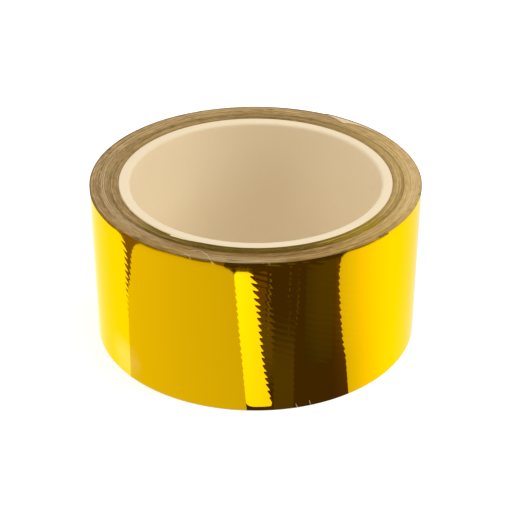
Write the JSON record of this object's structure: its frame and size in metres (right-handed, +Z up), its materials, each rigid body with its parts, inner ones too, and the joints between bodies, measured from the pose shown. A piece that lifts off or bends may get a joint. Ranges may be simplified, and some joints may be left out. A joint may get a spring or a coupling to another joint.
{
  "type": "film tape roll",
  "caption": "Roll of mirror-gold self-wound film tape on a plain plastic core, standing on one end, with a free end that peels off.",
  "frame": {"origin": "on the roll's axis, at the flat end it stands on", "axes": "+Z up along the roll's axis; +X and +Y across the roll, with the free end of the tape from 3 to 63 degrees about +Z measured from +X"},
  "size_m": [0.1006, 0.1003, 0.05],
  "materials": {
    "core_plastic": "satin",
    "gold_film": "polished",
    "wound_edge": "satin"
  },
  "bodies": {
    "roll": {"core_tube": "core_plastic", "first_turn": "gold_film", "inner_turns": "wound_edge", "lower_middle_turns": "wound_edge", "upper_middle_turns": "wound_edge", "outer_turns": "wound_edge", "last_turn": "gold_film"},
    "tail_piece_1": {"tail_1": "gold_film"},
    "tail_piece_2": {"tail_2": "gold_film"},
    "tail_piece_3": {"tail_3": "gold_film"},
    "tail_piece_4": {"tail_4": "gold_film"},
    "tail_piece_5": {"tail_5": "gold_film"},
    "tail_piece_6": {"tail_6": "gold_film"}
  },
  "joints": [
    {"name": "tail_peel", "type": "hinge", "parent": "roll", "child": "tail_piece_1", "pos_m": [0.05043, 0.00264, 0.025], "axis": [0, 0, -1], "range_deg": [0, 90]},
    {"name": "tail_bend_2", "type": "hinge", "parent": "tail_piece_1", "child": "tail_piece_2", "pos_m": [0.04921, 0.01136, 0.025], "axis": [0, 0, -1], "range_deg": [0, 10]},
    {"name": "tail_bend_3", "type": "hinge", "parent": "tail_piece_2", "child": "tail_piece_3", "pos_m": [0.04652, 0.01974, 0.025], "axis": [0, 0, -1], "range_deg": [0, 10]},
    {"name": "tail_bend_4", "type": "hinge", "parent": "tail_piece_3", "child": "tail_piece_4", "pos_m": [0.04242, 0.02755, 0.025], "axis": [0, 0, -1], "range_deg": [0, 10]},
    {"name": "tail_bend_5", "type": "hinge", "parent": "tail_piece_4", "child": "tail_piece_5", "pos_m": [0.03703, 0.03453, 0.025], "axis": [0, 0, -1], "range_deg": [0, 10]},
    {"name": "tail_bend_6", "type": "hinge", "parent": "tail_piece_5", "child": "tail_piece_6", "pos_m": [0.03052, 0.0405, 0.025], "axis": [0, 0, -1], "range_deg": [0, 10]}
  ],
  "couplings": [
    {"joint": "tail_bend_2", "follows": "tail_peel", "ratio": 0.1111},
    {"joint": "tail_bend_3", "follows": "tail_peel", "ratio": 0.1111},
    {"joint": "tail_bend_4", "follows": "tail_peel", "ratio": 0.1111},
    {"joint": "tail_bend_5", "follows": "tail_peel", "ratio": 0.1111},
    {"joint": "tail_bend_6", "follows": "tail_peel", "ratio": 0.1111}
  ]
}
